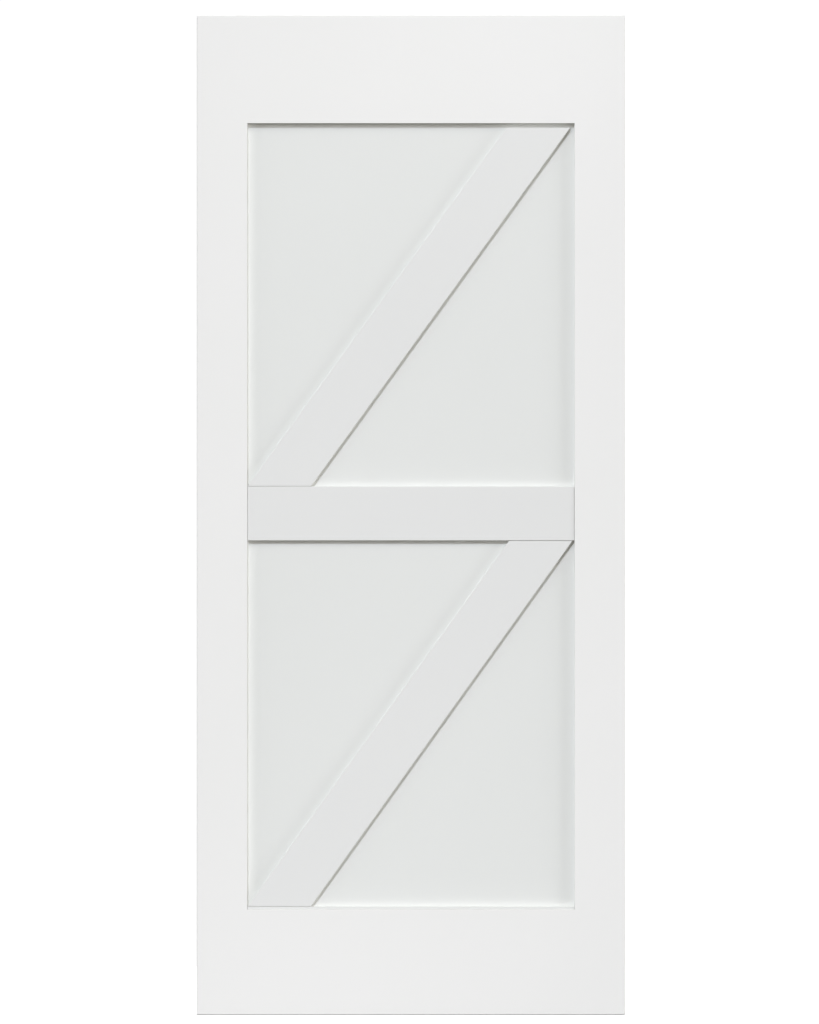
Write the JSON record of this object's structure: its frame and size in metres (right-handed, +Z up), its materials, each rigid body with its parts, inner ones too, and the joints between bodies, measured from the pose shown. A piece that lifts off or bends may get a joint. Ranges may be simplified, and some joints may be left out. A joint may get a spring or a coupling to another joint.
{
  "type": "sliding barn door",
  "caption": "White primed barn door leaf: stile-and-rail frame around a flat panel, with a square-edged mid rail, diagonal braces and a narrow bottom strip planted on both faces.",
  "frame": {"origin": "middle of the bottom edge of the leaf, halfway through its thickness", "axes": "+Z up the height of the leaf, +X to the right as seen from the front, -Y out of the front face"},
  "size_m": [0.9144, 0.0348, 2.1336],
  "materials": {
    "frame": "satin",
    "boards": "satin",
    "panel": "satin",
    "dowels": "matte",
    "pins": "satin"
  },
  "bodies": {
    "root": {"left_stile": "frame", "right_stile": "frame", "top_rail": "frame", "bottom_rail": "frame", "panel": "panel", "front_mid_rail": "boards", "front_upper_brace": "boards", "front_lower_brace": "boards", "front_bottom_strip": "boards", "back_mid_rail": "boards", "back_upper_brace": "boards", "back_lower_brace": "boards", "back_bottom_strip": "boards", "upper_left_dowels": "dowels", "upper_right_dowels": "dowels", "lower_left_dowels": "dowels", "lower_right_dowels": "dowels", "front_mid_rail_pins": "pins", "front_upper_brace_pins": "pins", "front_lower_brace_pins": "pins", "front_bottom_strip_pins": "pins", "back_mid_rail_pins": "pins", "back_upper_brace_pins": "pins", "back_lower_brace_pins": "pins", "back_bottom_strip_pins": "pins"}
  },
  "joints": []
}
